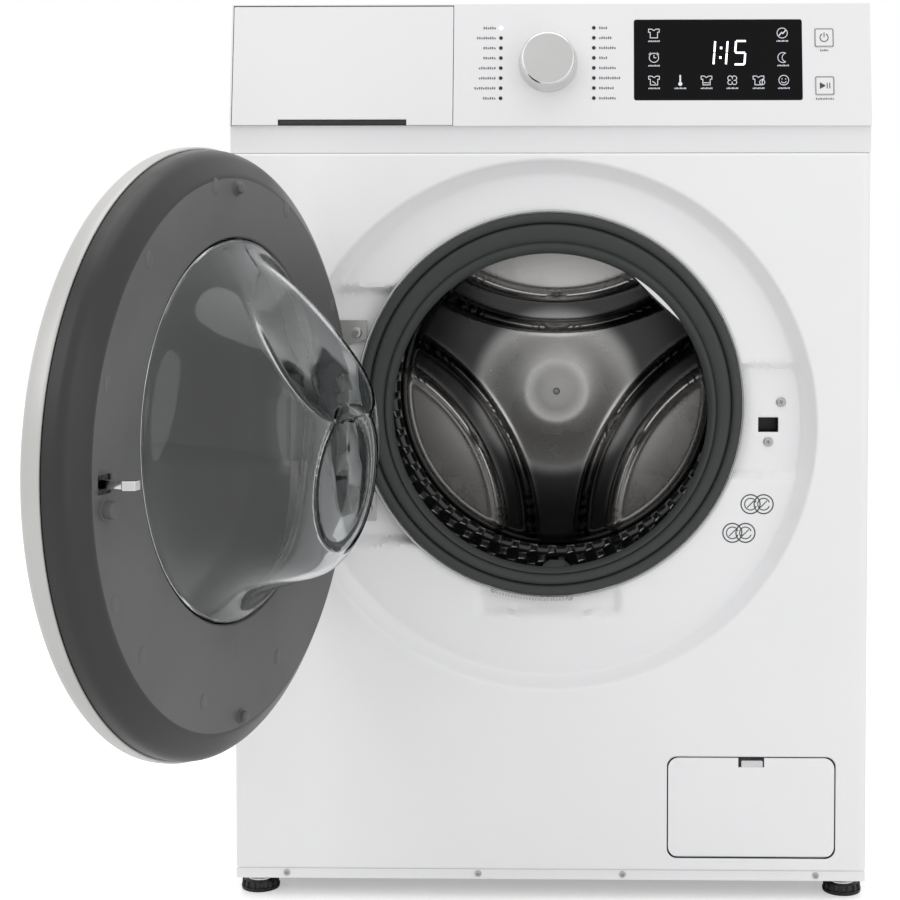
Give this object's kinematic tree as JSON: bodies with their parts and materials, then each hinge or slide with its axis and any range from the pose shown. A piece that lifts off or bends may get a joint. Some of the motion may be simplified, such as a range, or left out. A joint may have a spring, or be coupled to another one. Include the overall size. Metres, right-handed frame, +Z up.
{
  "type": "front load washing machine",
  "caption": "Front-loading washing machine with its round glass door standing open, sloping console, drawer, knob, display and filter flap.",
  "frame": {"origin": "on the floor, in the middle of the space that the machine takes with its door open", "axes": "+Z up, front face towards -Y, +X to the right as seen from the front"},
  "size_m": [0.6608, 1.0294, 0.845],
  "materials": {
    "paint": "gloss",
    "white_plastic": "satin",
    "silver_plastic": "satin",
    "grey_plastic": "satin",
    "pale_plastic": "matte",
    "black_plastic": "satin",
    "display_glass": "gloss",
    "smoked_cover": "gloss",
    "bowl_glass": "gloss",
    "gasket_rubber": "matte",
    "hose_rubber": "matte",
    "knob_metal": "satin",
    "stainless": "satin",
    "hardware_steel": "satin",
    "zinc_plate": "satin",
    "cast_aluminium": "satin",
    "cast_weight": "matte",
    "circuit_board": "matte"
  },
  "bodies": {
    "cabinet": {"front_panel": "paint", "side_panel_left": "paint", "side_panel_right": "paint", "rear_panel": "zinc_plate", "rear_service_cover": "zinc_plate", "base_frame": "zinc_plate", "plinth_strip": "paint", "worktop": "white_plastic", "console_fascia": "white_plastic", "dispenser_housing": "pale_plastic", "hinge_plate": "hardware_steel", "door_lock": "black_plastic", "display_window": "display_glass", "control_board": "circuit_board", "door_gasket": "gasket_rubber", "damper_cylinder_left": "black_plastic", "damper_cylinder_right": "black_plastic", "tub_spring_left": "hardware_steel", "tub_spring_right": "hardware_steel", "sump_hose": "hose_rubber", "dispenser_hose": "hose_rubber", "inlet_valve": "white_plastic", "mains_inlet": "black_plastic", "drain_outlet": "black_plastic", "drain_pump": "pale_plastic"},
    "door": {"door_ring": "silver_plastic", "door_cover": "smoked_cover", "door_inner_frame": "grey_plastic", "door_glass": "bowl_glass", "door_hinge_leaf": "hardware_steel"},
    "door_hook": {"door_hook": "hardware_steel"},
    "drawer": {"drawer_front": "white_plastic", "drawer_tray": "pale_plastic"},
    "program_knob": {"program_knob": "knob_metal"},
    "power_button": {"power_button": "white_plastic"},
    "start_button": {"start_button": "white_plastic"},
    "filter_flap": {"filter_flap": "white_plastic"},
    "filter_cap": {"filter_cap": "grey_plastic"},
    "foot_front_left": {"foot_front_left": "black_plastic"},
    "foot_front_right": {"foot_front_right": "black_plastic"},
    "foot_rear_left": {"foot_rear_left": "black_plastic"},
    "foot_rear_right": {"foot_rear_right": "black_plastic"},
    "tub": {"tub_front": "pale_plastic", "tub_rear": "pale_plastic", "counterweight": "cast_weight", "bearing_cartridge": "hardware_steel", "heater": "hardware_steel", "motor": "cast_aluminium", "drive_belt": "hose_rubber", "damper_rod_left": "hardware_steel", "damper_rod_right": "hardware_steel"},
    "drum": {"drum_shell": "stainless", "drum_front": "stainless", "drum_back": "stainless", "drum_lifter_1": "pale_plastic", "drum_lifter_2": "pale_plastic", "drum_lifter_3": "pale_plastic", "spider": "cast_aluminium", "drum_pulley": "cast_aluminium"},
    "motor_rotor": {"motor_pulley": "hardware_steel"}
  },
  "joints": [
    {"name": "door_swing", "type": "hinge", "parent": "cabinet", "child": "door", "pos_m": [-0.18508, -0.06831, 0.451], "axis": [0, 0, 1], "range_deg": [0, 106]},
    {"name": "door_hook_pivot", "type": "hinge", "parent": "door", "child": "door_hook", "pos_m": [-0.29138, -0.47528, 0.449], "axis": [0, 0, 1], "range_deg": [0, 3.5], "stiffness_Nm_per_rad": 0.5, "springref_deg": -6.88},
    {"name": "drawer_slide", "type": "slide", "parent": "cabinet", "child": "drawer", "axis": [0, -1, 0], "range_m": [0, 0.2]},
    {"name": "knob_turn", "type": "hinge", "parent": "cabinet", "child": "program_knob", "pos_m": [0.02992, -0.0406, 0.7888], "axis": [0, -0.9866, 0.163], "continuous": true},
    {"name": "power_press", "type": "slide", "parent": "cabinet", "child": "power_button", "axis": [0, 0.9866, -0.163], "range_m": [0, 0.0015], "stiffness_N_per_m": 400, "springref_m": -0.001},
    {"name": "start_press", "type": "slide", "parent": "cabinet", "child": "start_button", "axis": [0, 0.9866, -0.163], "range_m": [0, 0.0015], "stiffness_N_per_m": 400, "springref_m": -0.001},
    {"name": "flap_tilt", "type": "hinge", "parent": "cabinet", "child": "filter_flap", "pos_m": [0.22151, -0.04731, 0.044], "axis": [1, 0, 0], "range_deg": [0, 90]},
    {"name": "filter_turn", "type": "hinge", "parent": "cabinet", "child": "filter_cap", "pos_m": [0.22151, -0.03231, 0.0855], "axis": [0, -1, 0], "range_deg": [-90, 0]},
    {"name": "foot_front_left_screw", "type": "slide", "parent": "cabinet", "child": "foot_front_left", "axis": [0, 0, 1], "range_m": [-0.015, 0]},
    {"name": "foot_front_right_screw", "type": "slide", "parent": "cabinet", "child": "foot_front_right", "axis": [0, 0, 1], "range_m": [-0.015, 0]},
    {"name": "foot_rear_left_screw", "type": "slide", "parent": "cabinet", "child": "foot_rear_left", "axis": [0, 0, 1], "range_m": [-0.015, 0]},
    {"name": "foot_rear_right_screw", "type": "slide", "parent": "cabinet", "child": "foot_rear_right", "axis": [0, 0, 1], "range_m": [-0.015, 0]},
    {"name": "tub_bounce", "type": "slide", "parent": "cabinet", "child": "tub", "axis": [0, 0, 1], "range_m": [-0.01, 0.01], "stiffness_N_per_m": 20000, "springref_m": 0.01845, "deforming": ["door_gasket", "sump_hose", "dispenser_hose", "tub_spring_left", "tub_spring_right"]},
    {"name": "drum_spin", "type": "hinge", "parent": "tub", "child": "drum", "pos_m": [0.03141, 0.24969, 0.4535], "axis": [0, 1, 0], "continuous": true},
    {"name": "motor_spin", "type": "hinge", "parent": "tub", "child": "motor_rotor", "pos_m": [-0.06359, 0.39969, 0.14], "axis": [0, 1, 0], "continuous": true}
  ],
  "couplings": [
    {"joint": "motor_spin", "follows": "drum_spin", "ratio": 10.485}
  ]
}
